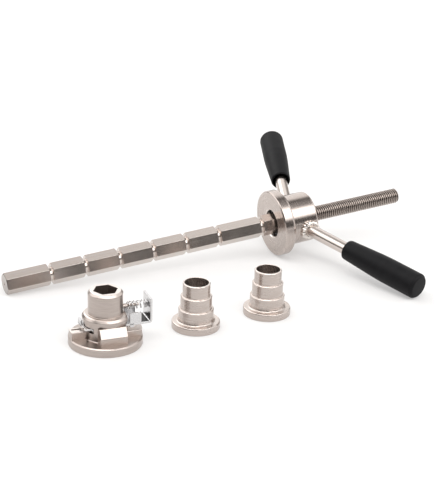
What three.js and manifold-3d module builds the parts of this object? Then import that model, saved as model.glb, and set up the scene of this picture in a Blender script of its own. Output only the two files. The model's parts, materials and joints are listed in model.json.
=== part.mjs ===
// Bearing cup press kit for bicycle frames, set out in one row on a flat floor:
//   - the press: a grooved hexagonal shaft turned into a screw at one end, with a
//     thrust plate and a two-armed nut that winds it along the screw
//   - the quick-release lower press plate, with its sprung sliding latch
//   - two stepped cup guides
// Millimetres, +Z up, the shaft's heading along +X, the floor at Z = 0.

import * as THREE from 'three';
import { mergeVertices } from 'three/addons/utils/BufferGeometryUtils.js';
import Module from 'manifold-3d';

const wasm = await Module();
wasm.setup();

// ---------------------------------------------------------------- dimensions

const GAP = 0.3; // running gap between neighbouring pieces
const ROUND = 48; // sides on a large turned piece
const MEDIUM_ROUND = 36; // sides on a guide, grip or bearing part
const HEX_ROUND = 24; // sides on the turned chamfers of the hexagon
const SMALL_ROUND = 20; // sides on a rod or screw
const PIN_ROUND = 12; // sides on a pin
const BALL_ROUND = 8; // sides on a ball or its pocket
const PAST = 1; // how far a cutting shape runs past the face it cuts

const shaft = {
  acrossFlats: 19.05,
  length: 440,
  hexEnd: 300, // the hexagon stops here and the screw begins
  firstGroove: 46.3,
  groovePitch: 36.2,
  evenGrooves: 6,
  lastGroove: 276.2,
  grooveWidth: 3.6,
  grooveRadius: 7.0,
  edgeChamfer: 1.5,
  screwRadius: 7.8,
  threadDepth: 1.4,
  reliefLength: 2.5,
  screwRoot: 2, // how deep the screw is rooted in the hexagon's end
  screwChamfer: 1.6,
  centreHoleRadius: 1.8,
};
const hexRadius = shaft.acrossFlats / 2 / Math.cos(Math.PI / 6);

const plate = { // the round thrust plate
  front: 290.25,
  thickness: 11.95,
  radius: 34.1,
  frontChamfer: 1.0,
  backChamfer: 1.6,
  boreRadius: 14.2,
  boreChamfer: 0.8,
  pocketRadius: 23,
  pocketDepth: 8,
};
const bearing = {
  innerRadius: 15,
  outerRadius: 22.5,
  raceThickness: 1.5,
  ballRadius: 2,
  ballCircle: 18.7,
  balls: 12,
  cageThickness: 1.4,
  cageMargin: 0.8, // by which the cage is narrower than the races at each edge
};
const hub = { // the nut that carries the arms
  front: 302.5,
  length: 30.3,
  radius: 25.9,
  rearChamfer: 3.2,
  rearRounding: 0.96, // flatter lead-in to the rear chamfer
  clearanceRadius: 12, // room for the hexagon inside the front of the nut
  clearanceDepth: 9.5,
  clearanceTaper: 3,
  threadLeadIn: 1,
};
const arm = {
  crossing: 312.16, // where both arms' axes meet the shaft's axis
  sweep: THREE.MathUtils.degToRad(20.2), // lean towards the screw's end
  radius: 6.35,
  start: 15,
  startChamfer: 0.6,
  end: 165.5,
  endChamfer: 1,
  weldRadius: 8.6,
  weldRoot: 8, // how far back into the nut's side the bead is drawn before it is trimmed
  weldProfile: [[0, 1.5], [1, 3.5]], // drop below the crown and distance from the nut
  weldLength: 5,
};
const grip = {
  start: 79,
  length: 93,
  noseRadius: 9.9,
  innerRadius: 10.6,
  noseLength: 2,
  throatRadius: 11.5,
  throatLength: 14,
  middleRadius: 12.6,
  outerRadius: 13,
  outerLength: 8,
  rounding: 3,
  capThickness: 6,
  mouthRadius: 8.6, // the open inner end, wider than the rod
  mouthDepth: 10,
};
const body = { // the lower press plate, one machined piece
  x: 51.6,
  y: -136.97,
  turn: THREE.MathUtils.degToRad(-4),
  discRadius: 34.1,
  discFoot: 0.5, // chamfer round the underside
  discEdge: 7.3,
  discTop: 8.1,
  hubRadius: 20.2,
  hubFillet: 1.2,
  ringRadius: 21.5,
  ringBottom: 24.6,
  ringTop: 30,
  ringCrown: [[0, 2.6], [1.6, 0.5], [3, 0]], // drops from the ring's radius and top
  tubeRadius: 16.05,
  tubeTop: 52,
  tubeCrown: [[0, 2.3], [1.9, 0.2], [2.4, 0]], // drops from the tube's radius and top
  boreRadius: 11.7, // to the corners of the hexagonal bore
  flatX: 17, // flat milled beside the latch
  flatHalfWidth: 16,
  lugReach: 33.4,
  lugRoot: 15, // where the lugs' blanks start inside the hub
};
const frontLug = { left: -12.2, right: 13.8, face: 25.4, faceTop: 14.6, slopeTop: 22.6 };
const rightLug = { halfWidth: 13.2, top: 13.9 };
const leftLug = {
  back: 6,
  front: -5,
  top: 15.3,
  grooveY: 2.2,
  grooveWidth: 2.6,
  grooveDepth: 1.8,
  grooveStart: -31.5,
  grooveEnd: -22.5,
};
const slot = { halfLength: 30, halfWidth: 13.4, bottom: 15.7, top: 20.5 };
const latch = {
  bottom: 18,
  sheet: 2,
  halfWidth: 10.4,
  middleHalfWidth: 12.9,
  middleReach: 16.2,
  holeX: 2.6,
  holeRadius: 11.4,
  leftEnd: -22,
  tabOuter: 41.5,
  tabTop: 42,
  bendRadius: 3,
  wingStart: 20,
  wingEnd: 31.1,
  wingTop: 29.9,
  legEnd: 24.2,
  legBottom: 16,
  earOuter: -23,
  earFront: 2,
  earTop: 23.6,
};
const pin = {
  z: 33.7,
  shoulderRadius: 2.15,
  shoulderEnd: 20.2,
  radius: 1.5,
  start: 13,
  end: 31.5,
  tipChamfer: 0.5,
};
const spring = {
  start: 20.8,
  end: 39.0,
  coilRadius: 3.45,
  wireRadius: 0.55,
  turns: 4.5,
  stepsPerTurn: 14,
};
const guide = {
  places: [[142.22, -136.5], [218.62, -132.27]],
  flangeRadius: 22.7,
  flangeTop: 7.1,
  steps: [[16.6, 19.7], [14.8, 32.4], [13.0, 45.0]], // radius and top of each step
  boreRadius: 11.4,
  chamfer: 0.6,
};

// The press lies on three points: the near end of the hexagon, the rim of the
// thrust plate and the outer end of one grip.
const lie = {
  tilt: THREE.MathUtils.degToRad(4.6238),
  height: 10.5105,
  hexTurn: THREE.MathUtils.degToRad(44.63),
  armDrop: THREE.MathUtils.degToRad(-10.022),
};

// ----------------------------------------------------------------- materials

const metal = (color, roughness) => new THREE.MeshStandardMaterial({ color, roughness, metalness: 1 });
const materials = {
  nickel: metal(0xbfb4ae, 0.3),
  zinc: metal(0xd5d6d8, 0.25),
  bearingSteel: metal(0xa9adb3, 0.15),
  rubber: new THREE.MeshStandardMaterial({ color: 0x232225, roughness: 0.6, metalness: 0 }),
};

// ------------------------------------------------------------------- helpers

/** Closed three.js geometry to a manifold-3d solid. */
function solid(geometry) {
  geometry.deleteAttribute('normal');
  geometry.deleteAttribute('uv');
  const merged = mergeVertices(geometry.index ? geometry.toNonIndexed() : geometry, 1e-5);
  return new wasm.Manifold(new wasm.Mesh({
    numProp: 3,
    vertProperties: merged.attributes.position.array,
    triVerts: Uint32Array.from(merged.index.array),
  }));
}

/** manifold-3d solid to a flat-shaded three.js geometry. */
function geometryOf(shape) {
  const mesh = shape.getMesh();
  const geometry = new THREE.BufferGeometry();
  geometry.setAttribute('position', new THREE.BufferAttribute(mesh.vertProperties, 3));
  geometry.setIndex(new THREE.BufferAttribute(mesh.triVerts, 1));
  return geometry;
}

/** Turn a closed outline of [radius, height] points about +Z. */
function turned(outline, sides = ROUND) {
  const points = outline.map(([r, z]) => new THREE.Vector2(r, z));
  const onAxis = outline[0][0] === 0 && outline.at(-1)[0] === 0;
  if (!onAxis) points.push(points[0].clone());
  return solid(new THREE.LatheGeometry(points, sides).rotateX(Math.PI / 2));
}

/** A washer or tube about +Z. */
function ring(inner, outer, low, high, sides = ROUND) {
  return turned([[inner, low], [outer, low], [outer, high], [inner, high]], sides);
}

function block(x0, x1, y0, y1, z0, z1) {
  return solid(new THREE.BoxGeometry(x1 - x0, y1 - y0, z1 - z0)
    .translate((x0 + x1) / 2, (y0 + y1) / 2, (z0 + z1) / 2));
}

/** Extrude a Shape along +Z from low to high. */
function extruded(shape, low, high, curveSegments = 6) {
  const settings = { depth: high - low, bevelEnabled: false, curveSegments };
  return solid(new THREE.ExtrudeGeometry(shape, settings).translate(0, 0, low));
}

/** Hexagonal prism with one corner at angle turn from +X. */
function hexPrism(radius, low, high, turn = 0) {
  const corners = Array.from({ length: 6 }, (_, i) => {
    const angle = turn + i * Math.PI / 3;
    return new THREE.Vector2(radius * Math.cos(angle), radius * Math.sin(angle));
  });
  return extruded(new THREE.Shape(corners), low, high);
}

/** Move a solid by a three.js matrix. */
const moved = (shape, matrix) => shape.transform(matrix.elements);

function piece(name, material, shape) {
  const mesh = new THREE.Mesh(geometryOf(shape), material);
  mesh.name = name;
  return mesh;
}

// --------------------------------------------------------------------- press
// In the press's own frame +Z runs along the shaft to the screw, +X is up and
// +Y points to the side that the near arm reaches.

function pressShaft() {
  const { edgeChamfer: c, grooveWidth, grooveRadius, hexEnd, screwRadius, length } = shaft;
  const rim = hexRadius + GAP;
  const grooves = Array.from({ length: shaft.evenGrooves },
    (_, i) => shaft.firstGroove + i * shaft.groovePitch);
  grooves.push(shaft.lastGroove);

  const envelope = [[0, 0], [rim - c, 0], [rim, c]];
  for (const z of grooves) {
    const low = z - grooveWidth / 2;
    const high = z + grooveWidth / 2;
    envelope.push([rim, low - c / 2], [rim - c, low], [grooveRadius, low]);
    envelope.push([grooveRadius, high], [rim - c, high], [rim, high + c / 2]);
  }
  envelope.push([rim, hexEnd - c], [rim - 2 * c, hexEnd], [0, hexEnd]);
  const hexTurn = Math.PI / 2 - lie.hexTurn;
  const bar = hexPrism(hexRadius, -PAST, hexEnd + PAST, hexTurn)
    .intersect(turned(envelope, HEX_ROUND));

  const { threadDepth, reliefLength, screwRoot, screwChamfer, centreHoleRadius: hole } = shaft;
  const relief = screwRadius - threadDepth;
  const screw = turned([
    [0, hexEnd - screwRoot], [relief, hexEnd - screwRoot], [relief, hexEnd + reliefLength],
    [screwRadius, hexEnd + reliefLength + threadDepth],
    [screwRadius, length - screwChamfer], [screwRadius - screwChamfer, length], [0, length],
  ], SMALL_ROUND);
  const centreHole = turned([[0, -PAST], [hole + PAST, -PAST], [0, hole]], PIN_ROUND);
  return bar.add(screw).subtract(centreHole);
}

function thrustPlate() {
  const { front, thickness, radius, frontChamfer: f, backChamfer: b } = plate;
  const { boreRadius, boreChamfer, pocketRadius } = plate;
  const back = front + thickness;
  const pocketFloor = back - plate.pocketDepth;
  return turned([
    [boreRadius + boreChamfer, front], [radius - f, front], [radius, front + f],
    [radius, back - b], [radius - b, back], [pocketRadius, back], [pocketRadius, pocketFloor],
    [boreRadius, pocketFloor], [boreRadius, front + boreChamfer],
  ]);
}

/** Faces of the two race washers and the plane of the balls, along the shaft. */
function bearingStack() {
  const frontRace = plate.front + plate.thickness - plate.pocketDepth + GAP;
  const balls = frontRace + bearing.raceThickness + GAP + bearing.ballRadius;
  const rearRace = balls + bearing.ballRadius + GAP;
  return { frontRace, balls, rearRace };
}

function ballCentre(index) {
  const angle = index * 2 * Math.PI / bearing.balls;
  const { ballCircle } = bearing;
  return new THREE.Vector3(
    ballCircle * Math.cos(angle), ballCircle * Math.sin(angle), bearingStack().balls);
}

function bearingCage() {
  const { innerRadius, outerRadius, cageThickness, cageMargin, ballRadius, balls } = bearing;
  const low = bearingStack().balls - cageThickness / 2;
  const high = low + cageThickness;
  let cage = ring(innerRadius + cageMargin, outerRadius - cageMargin, low, high, MEDIUM_ROUND);
  const pocketRadius = ballRadius + GAP;
  for (let i = 0; i < balls; i += 1) {
    const pocket = new THREE.CylinderGeometry(pocketRadius, pocketRadius, 2 * ballRadius, BALL_ROUND)
      .rotateX(Math.PI / 2).translate(...ballCentre(i).toArray());
    cage = cage.subtract(solid(pocket));
  }
  return cage;
}

/** Matrix that lays +Z along an arm, with its origin where the arms cross. */
function armMatrix(side) {
  const { sweep, crossing } = arm;
  const direction = new THREE.Vector3(
    side * Math.cos(sweep) * Math.sin(lie.armDrop),
    side * Math.cos(sweep) * Math.cos(lie.armDrop),
    Math.sin(sweep));
  const turn = new THREE.Quaternion().setFromUnitVectors(new THREE.Vector3(0, 0, 1), direction);
  return new THREE.Matrix4().compose(
    new THREE.Vector3(0, 0, crossing), turn, new THREE.Vector3(1, 1, 1));
}

/** The turned nut, without its arm sockets. */
function hubBlank() {
  const { front, length, radius, rearChamfer, rearRounding, clearanceRadius } = hub;
  const back = front + length;
  const clearanceEnd = front + hub.clearanceDepth;
  const bore = shaft.screwRadius + GAP;
  return turned([
    [clearanceRadius, front], [radius, front],
    [radius, back - rearChamfer], [radius - rearRounding, back - rearRounding],
    [radius - rearChamfer, back], [bore + hub.threadLeadIn, back],
    [bore, back - hub.threadLeadIn], [bore, clearanceEnd],
    [clearanceRadius, clearanceEnd - hub.clearanceTaper],
  ]);
}

function handleHub() {
  const socketRadius = arm.radius + GAP;
  const socket = turned([
    [0, arm.start - GAP], [socketRadius, arm.start - GAP],
    [socketRadius, 2 * hub.radius], [0, 2 * hub.radius],
  ], SMALL_ROUND);
  return [1, -1].reduce((nut, side) => nut.subtract(moved(socket, armMatrix(side))), hubBlank());
}

/** One arm in place, with the weld bead that meets the nut's curved side. */
function handleArm(side) {
  const { radius, start, startChamfer, end, endChamfer, weldRadius, weldRoot, weldLength } = arm;
  const rod = turned([
    [0, start], [radius - startChamfer, start], [radius, start + startChamfer],
    [radius, end - endChamfer], [radius - endChamfer, end], [0, end],
  ], SMALL_ROUND);
  const exit = hub.radius / Math.cos(arm.sweep);
  const bead = turned([
    [0, exit - weldRoot], [weldRadius, exit - weldRoot],
    ...arm.weldProfile.map(([drop, out]) => [weldRadius - drop, exit + out]),
    [radius, exit + weldLength], [0, exit + weldLength],
  ], SMALL_ROUND);
  const nutRadius = hub.radius + GAP;
  const nutSpace = turned([[0, 0], [nutRadius, 0], [nutRadius, shaft.length], [0, shaft.length]]);
  const trimmedBead = moved(bead, armMatrix(side)).subtract(nutSpace);
  return moved(rod, armMatrix(side)).add(trimmedBead);
}

function handleGrip(side) {
  const { start, length, noseRadius, innerRadius, noseLength, throatRadius, throatLength } = grip;
  const { middleRadius, outerRadius, outerLength, rounding } = grip;
  const end = start + length;
  const corner = 0.3 * rounding; // how far the rounding's middle point stays inside the corner
  const sleeve = turned([
    [0, start], [noseRadius, start], [innerRadius, start + noseLength],
    [throatRadius, start + throatLength], [middleRadius, start + length / 2],
    [outerRadius, end - outerLength], [outerRadius, end - rounding],
    [outerRadius - corner, end - corner], [outerRadius - rounding, end], [0, end],
  ], MEDIUM_ROUND);
  const { mouthRadius, mouthDepth, capThickness } = grip;
  const bore = arm.radius + GAP;
  const hole = turned([
    [0, start - PAST], [mouthRadius, start - PAST], [mouthRadius, start + mouthDepth],
    [bore, start + mouthDepth + mouthRadius - bore], [bore, end - capThickness],
    [0, end - capThickness],
  ], SMALL_ROUND);
  return moved(sleeve.subtract(hole), armMatrix(side));
}

function press() {
  const group = new THREE.Group();
  const along = new THREE.Vector3(Math.cos(lie.tilt), 0, Math.sin(lie.tilt));
  const up = new THREE.Vector3(-Math.sin(lie.tilt), 0, Math.cos(lie.tilt));
  const side = new THREE.Vector3(0, -1, 0);
  group.applyMatrix4(new THREE.Matrix4().makeBasis(up, side, along)
    .setPosition(0, 0, lie.height));

  group.add(piece('press_shaft', materials.nickel, pressShaft()));
  group.add(piece('thrust_plate', materials.nickel, thrustPlate()));

  const { innerRadius, outerRadius, raceThickness, ballRadius, balls } = bearing;
  const { frontRace, rearRace } = bearingStack();
  const race = (low) => ring(innerRadius, outerRadius, low, low + raceThickness, MEDIUM_ROUND);
  group.add(piece('bearing_race_front', materials.bearingSteel, race(frontRace)));
  group.add(piece('bearing_race_rear', materials.bearingSteel, race(rearRace)));
  group.add(piece('bearing_cage', materials.zinc, bearingCage()));
  for (let i = 0; i < balls; i += 1) {
    const ball = solid(new THREE.SphereGeometry(ballRadius, BALL_ROUND, BALL_ROUND - 2));
    const name = `bearing_ball_${String(i + 1).padStart(2, '0')}`;
    const mesh = piece(name, materials.bearingSteel, ball);
    mesh.position.copy(ballCentre(i));
    group.add(mesh);
  }

  group.add(piece('handle_hub', materials.nickel, handleHub()));
  for (const [place, sign] of [['near', 1], ['far', -1]]) {
    group.add(piece(`handle_arm_${place}`, materials.nickel, handleArm(sign)));
    group.add(piece(`handle_grip_${place}`, materials.rubber, handleGrip(sign)));
  }
  return group;
}

// --------------------------------------------------------- lower press plate
// Its own frame has +Z up the bore and +X towards the latch's thumb tab.

function bodyBlank() {
  const b = body;
  const crown = (radius, top, drops) => drops.map(([inward, down]) => [radius - inward, top - down]);
  return turned([
    [0, 0], [b.discRadius - b.discFoot, 0], [b.discRadius, b.discFoot], [b.discRadius, b.discEdge],
    [b.discRadius - (b.discTop - b.discEdge), b.discTop], [b.hubRadius + b.hubFillet, b.discTop],
    [b.hubRadius, b.discTop + b.hubFillet], [b.hubRadius, b.ringBottom],
    [b.ringRadius, b.ringBottom], ...crown(b.ringRadius, b.ringTop, b.ringCrown),
    [b.tubeRadius, b.ringTop], ...crown(b.tubeRadius, b.tubeTop, b.tubeCrown), [0, b.tubeTop],
  ]);
}

/** Lug with a sloping top, reaching along -Y; its section is drawn in Y and Z. */
function slopingLug() {
  const { left, right, face, faceTop, slopeTop } = frontLug;
  const low = body.discTop - PAST;
  const section = new THREE.Shape([
    new THREE.Vector2(-face, low), new THREE.Vector2(-body.lugRoot, low),
    new THREE.Vector2(-body.lugRoot, slopeTop), new THREE.Vector2(-body.hubRadius, slopeTop),
    new THREE.Vector2(-face, faceTop),
  ]);
  const settings = { depth: right - left, bevelEnabled: false };
  const geometry = new THREE.ExtrudeGeometry(section, settings);
  const axes = new THREE.Matrix4().makeBasis(
    new THREE.Vector3(0, 1, 0), new THREE.Vector3(0, 0, 1), new THREE.Vector3(1, 0, 0));
  return solid(geometry.applyMatrix4(axes).translate(left, 0, 0));
}

/** The block lugs at the latch's two ends, trimmed to one circle. */
function blockLugs() {
  const { lugRoot, lugReach, discRadius } = body;
  const low = body.discTop - PAST;
  const { halfWidth, top } = rightLug;
  const right = block(lugRoot, discRadius, -halfWidth, halfWidth, low, top);
  const { back, front, grooveY, grooveWidth, grooveDepth, grooveStart, grooveEnd } = leftLug;
  const groove = block(grooveStart, grooveEnd, grooveY - grooveWidth / 2, grooveY + grooveWidth / 2,
    leftLug.top - grooveDepth, leftLug.top + PAST);
  const left = block(-discRadius, -lugRoot, front, back, low, leftLug.top).subtract(groove);
  return right.add(left).intersect(ring(0, lugReach, 0, body.tubeTop));
}

function lowerPlateBody() {
  const near = slopingLug();
  const halfTurn = new THREE.Matrix4().makeRotationZ(Math.PI);
  const blank = bodyBlank().add(blockLugs()).add(near).add(moved(near, halfTurn));

  const { halfLength, halfWidth, bottom, top } = slot;
  const latchSlot = block(-halfLength, halfLength, -halfWidth, halfWidth, bottom, top);
  const { flatX, flatHalfWidth } = body;
  const flat = block(flatX, halfLength, -flatHalfWidth, flatHalfWidth, bottom, body.ringTop + PAST);
  const bore = hexPrism(body.boreRadius, -PAST, body.tubeTop + PAST);
  const pinHoleRadius = pin.shoulderRadius + GAP;
  const pinHole = turned([
    [0, pin.start - GAP], [pinHoleRadius, pin.start - GAP],
    [pinHoleRadius, pin.shoulderEnd], [0, pin.shoulderEnd],
  ], PIN_ROUND);
  return blank.subtract(latchSlot).subtract(flat).subtract(bore)
    .subtract(moved(pinHole, pinMatrix()));
}

/** Lays +Z along the latch's spring pin. */
function pinMatrix() {
  return new THREE.Matrix4().makeRotationY(Math.PI / 2).setPosition(0, 0, pin.z);
}

function springPin() {
  const { shoulderRadius, shoulderEnd, radius, start, end, tipChamfer } = pin;
  const shape = turned([
    [0, start], [shoulderRadius, start], [shoulderRadius, shoulderEnd], [radius, shoulderEnd],
    [radius, end - tipChamfer], [radius - tipChamfer, end], [0, end],
  ], PIN_ROUND);
  return moved(shape, pinMatrix());
}

class CoilCurve extends THREE.Curve {
  getPoint(t, target = new THREE.Vector3()) {
    const { start, end, wireRadius, coilRadius, turns } = spring;
    const angle = t * turns * 2 * Math.PI;
    return target.set(
      THREE.MathUtils.lerp(start + wireRadius, end - wireRadius, t),
      coilRadius * Math.cos(angle),
      pin.z + coilRadius * Math.sin(angle));
  }
}

function coilSpring() {
  const section = new THREE.Shape();
  section.absarc(0, 0, spring.wireRadius, 0, 2 * Math.PI, false);
  const steps = Math.round(spring.turns * spring.stepsPerTurn);
  const settings = { steps, curveSegments: 3, extrudePath: new CoilCurve() };
  return solid(new THREE.ExtrudeGeometry(section, settings));
}

/** Latch bent from sheet: a plate with the bar's hole, a thumb tab, two wings and an ear. */
function latchPlate() {
  const l = latch;
  const top = l.bottom + l.sheet;

  const outline = new THREE.Shape([
    new THREE.Vector2(l.leftEnd, -l.halfWidth), new THREE.Vector2(-l.middleReach, -l.halfWidth),
    new THREE.Vector2(-l.middleReach, -l.middleHalfWidth),
    new THREE.Vector2(l.middleReach, -l.middleHalfWidth),
    new THREE.Vector2(l.middleReach, -l.halfWidth), new THREE.Vector2(l.wingStart, -l.halfWidth),
    new THREE.Vector2(l.wingStart, l.halfWidth), new THREE.Vector2(l.middleReach, l.halfWidth),
    new THREE.Vector2(l.middleReach, l.middleHalfWidth),
    new THREE.Vector2(-l.middleReach, l.middleHalfWidth),
    new THREE.Vector2(-l.middleReach, l.halfWidth), new THREE.Vector2(l.earOuter, l.halfWidth),
    new THREE.Vector2(l.earOuter, l.earFront), new THREE.Vector2(l.leftEnd, l.earFront),
  ]);
  const hole = new THREE.Path();
  hole.absarc(l.holeX, 0, l.holeRadius, 0, 2 * Math.PI, true);
  outline.holes.push(hole);
  let shape = extruded(outline, l.bottom, top, 10);

  const bend = new THREE.Shape();
  bend.moveTo(l.wingStart - PAST, l.bottom);
  bend.absarc(l.tabOuter - l.bendRadius, l.bottom + l.bendRadius, l.bendRadius, -Math.PI / 2, 0, false);
  bend.lineTo(l.tabOuter, l.tabTop);
  bend.lineTo(l.tabOuter - l.sheet, l.tabTop);
  const inner = l.bendRadius - l.sheet;
  bend.absarc(l.tabOuter - l.bendRadius, l.bottom + l.bendRadius, inner, 0, -Math.PI / 2, true);
  bend.lineTo(l.wingStart - PAST, top);
  const settings = { depth: 2 * l.halfWidth, bevelEnabled: false, curveSegments: 5 };
  const tab = new THREE.ExtrudeGeometry(bend, settings)
    .rotateX(Math.PI / 2).translate(0, l.halfWidth, 0);
  shape = shape.add(solid(tab));

  for (const side of [1, -1]) {
    const outer = side * l.halfWidth;
    const inside = side * (l.halfWidth - l.sheet);
    const [y0, y1] = [Math.min(outer, inside), Math.max(outer, inside)];
    shape = shape.add(block(l.wingStart, l.wingEnd, y0, y1, l.bottom, l.wingTop));
    shape = shape.add(block(l.wingStart, l.legEnd, y0, y1, l.legBottom, top));
  }
  return shape.add(block(l.earOuter, l.earOuter + l.sheet, l.earFront, l.halfWidth, l.bottom, l.earTop));
}

function lowerPlate() {
  const group = new THREE.Group();
  group.position.set(body.x, body.y, 0);
  group.rotation.z = body.turn;
  group.add(piece('lower_plate_body', materials.nickel, lowerPlateBody()));
  group.add(piece('latch_spring_pin', materials.nickel, springPin()));
  group.add(piece('latch_spring', materials.zinc, coilSpring()));
  group.add(piece('latch_plate', materials.zinc, latchPlate()));
  return group;
}

// ---------------------------------------------------------------- cup guides

function cupGuide() {
  const { flangeRadius, flangeTop, steps, boreRadius, chamfer: c } = guide;
  const outline = [
    [boreRadius + c, 0], [flangeRadius - c, 0], [flangeRadius, c],
    [flangeRadius, flangeTop - c], [flangeRadius - c, flangeTop],
  ];
  let low = flangeTop;
  for (const [radius, top] of steps) {
    outline.push([radius, low], [radius, top - c], [radius - c, top]);
    low = top;
  }
  outline.push([boreRadius, low], [boreRadius, c]);
  return turned(outline, MEDIUM_ROUND);
}

function cupGuides() {
  return guide.places.map(([x, y], index) => {
    const mesh = piece(`cup_guide_${'ab'[index]}`, materials.nickel, cupGuide());
    mesh.position.set(x, y, 0);
    return mesh;
  });
}

// ----------------------------------------------------------------------- kit

const kit = new THREE.Group();
kit.add(press(), lowerPlate(), ...cupGuides());

// origin at the bottom centre of the whole set
const box = new THREE.Box3().setFromObject(kit, true);
const centre = box.getCenter(new THREE.Vector3());
kit.position.set(-centre.x, -centre.y, -box.min.z);

export default kit;
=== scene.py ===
"""Looks of the bearing cup press kit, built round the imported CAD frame.

Outlines are in millimetres, each in its piece's own frame. piece() turns a finished mesh into
metres and puts it in its place.
"""

import json
import math
from collections import namedtuple

import bmesh
import bpy
from mathutils import Matrix, Vector, noise


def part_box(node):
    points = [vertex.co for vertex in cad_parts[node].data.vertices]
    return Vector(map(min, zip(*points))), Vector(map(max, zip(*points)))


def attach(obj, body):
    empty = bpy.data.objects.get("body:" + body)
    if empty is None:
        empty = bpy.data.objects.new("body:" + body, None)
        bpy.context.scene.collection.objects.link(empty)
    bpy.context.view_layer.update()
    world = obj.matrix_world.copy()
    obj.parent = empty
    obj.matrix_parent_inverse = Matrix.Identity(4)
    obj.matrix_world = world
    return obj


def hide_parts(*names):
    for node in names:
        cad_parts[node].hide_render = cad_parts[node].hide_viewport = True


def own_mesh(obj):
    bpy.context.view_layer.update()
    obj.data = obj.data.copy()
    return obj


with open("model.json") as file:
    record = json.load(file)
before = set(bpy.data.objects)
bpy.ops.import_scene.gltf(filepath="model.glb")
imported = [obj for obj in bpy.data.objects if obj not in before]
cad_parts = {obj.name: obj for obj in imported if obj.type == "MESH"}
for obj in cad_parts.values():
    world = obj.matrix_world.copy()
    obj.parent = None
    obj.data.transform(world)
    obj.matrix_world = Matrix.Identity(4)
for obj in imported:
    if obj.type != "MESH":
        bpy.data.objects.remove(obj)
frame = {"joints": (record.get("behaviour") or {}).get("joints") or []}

MM = 0.001
SIDES = 144  # round a large turned piece
ARC_STEP = math.radians(11)  # longest step along a rounded corner
CREASE = math.radians(32)  # edges sharper than this stay crisp
BEVEL_STEPS = 3
ON_AXIS = 1e-6  # mm; a smaller radius is a single point
MERGE = 1e-4  # mm; closer points are one
SLIVER = 1e-5  # mm; shorter edges of the screw thread are dissolved

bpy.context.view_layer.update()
joints = {joint["name"]: joint for joint in frame["joints"]}


# -------------------------------------------------------------------- places


def placement(origin, z_axis, x_hint):
    """Frame at origin with +Z along z_axis and +X as near x_hint as it can be."""
    z = Vector(z_axis).normalized()
    x = Vector(x_hint)
    x = (x - z * z.dot(x)).normalized()
    matrix = Matrix((x, z.cross(x), z)).transposed().to_4x4()
    matrix.translation = Vector(origin)
    return matrix


def floor_centre(node):
    """Point on the floor under the middle of a node's box."""
    low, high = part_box(node)
    return Vector(((low.x + high.x) / 2, (low.y + high.y) / 2, low.z))


ARM_CROSSING = 312.16  # from the shaft's bare end to where the arms' axes cross it
ARM_SWEEP = math.radians(20.2)  # lean towards the screw's end
ARM_DROP = math.radians(-10.022)  # turn about the shaft, with the press at rest

spin = joints["handle_spin"]
shaft_axis = Vector(spin["axis"]).normalized()
press_frame = placement(
    Vector(spin["pos_m"]) - ARM_CROSSING * MM * shaft_axis, shaft_axis, (0, 0, 1)
)
lower_frame = placement(
    floor_centre("lower_plate_body"), (0, 0, 1), -Vector(joints["latch_release"]["axis"])
)


def arm_frame(side):
    """+Z along an arm, from the crossing; side is 1 for the near arm and -1 for the far one."""
    direction = Vector(
        (
            side * math.cos(ARM_SWEEP) * math.sin(ARM_DROP),
            side * math.cos(ARM_SWEEP) * math.cos(ARM_DROP),
            math.sin(ARM_SWEEP),
        )
    )
    return press_frame @ placement((0, 0, ARM_CROSSING * MM), direction, (0, 0, -1))


# ------------------------------------------------------------- mesh building


def polar(radius, angle):
    return radius * math.cos(angle), radius * math.sin(angle)


def rounded(corners, closed=True):
    """Outline through corners given as (x, y) or (x, y, radius), with arcs at the radii."""
    points = []
    for index, corner in enumerate(corners):
        x, y, radius = (*corner, 0.0)[:3]
        here = Vector((x, y))
        if radius == 0 or (not closed and index in (0, len(corners) - 1)):
            points.append(here)
            continue
        before = (Vector(corners[index - 1][:2]) - here).normalized()
        after = (Vector(corners[(index + 1) % len(corners)][:2]) - here).normalized()
        half = before.angle(after) / 2
        centre = here + (before + after).normalized() * radius / math.sin(half)
        start = here + before * radius / math.tan(half) - centre
        end = here + after * radius / math.tan(half) - centre
        sweep = math.copysign(start.angle(end), start.cross(end))
        steps = max(2, math.ceil(abs(sweep) / ARC_STEP))
        for step in range(steps + 1):
            points.append(centre + Matrix.Rotation(sweep * step / steps, 2) @ start)
    return points


def lathe(outline, sides=SIDES):
    """Closed bmesh turned about +Z from an outline of (radius, height) points."""
    bm = bmesh.new()
    rings = []
    for radius, height in outline:
        if radius < ON_AXIS:
            rings.append([bm.verts.new((0, 0, height))])
            continue
        angles = [2 * math.pi * i / sides for i in range(sides)]
        rings.append([bm.verts.new((*polar(radius, angle), height)) for angle in angles])
    for low, high in zip(rings, rings[1:] + rings[:1]):
        if len(low) == 1 and len(high) == 1:
            continue
        for i in range(sides):
            j = (i + 1) % sides
            corners = [low[k % len(low)] for k in (i, j)] + [high[k % len(high)] for k in (j, i)]
            bm.faces.new(list(dict.fromkeys(corners)))
    return bm


def cylinder(radius, low, high, sides=SIDES):
    return lathe([(0, low), (radius, low), (radius, high), (0, high)], sides)


def prism(outline, low, high, edge=0.0):
    """Outline in X and Y raised from low to high, its edges eased by edge."""
    bm = bmesh.new()
    base = bm.faces.new([bm.verts.new((x, y, low)) for x, y in outline])
    made = bmesh.ops.extrude_face_region(bm, geom=[base])
    top = [v for v in made["geom"] if isinstance(v, bmesh.types.BMVert)]
    bmesh.ops.translate(bm, verts=top, vec=(0, 0, high - low))
    if edge:
        bmesh.ops.bevel(
            bm,
            geom=[e for e in bm.edges if e.calc_face_angle(0) > CREASE],
            offset=edge,
            segments=BEVEL_STEPS,
            profile=0.5,
            affect="EDGES",
            clamp_overlap=True,
        )
    bmesh.ops.recalc_face_normals(bm, faces=bm.faces)
    return bm


def block(x0, x1, y0, y1, z0, z1, edge=0.0):
    return prism([(x0, y0), (x1, y0), (x1, y1), (x0, y1)], z0, z1, edge)


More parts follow.
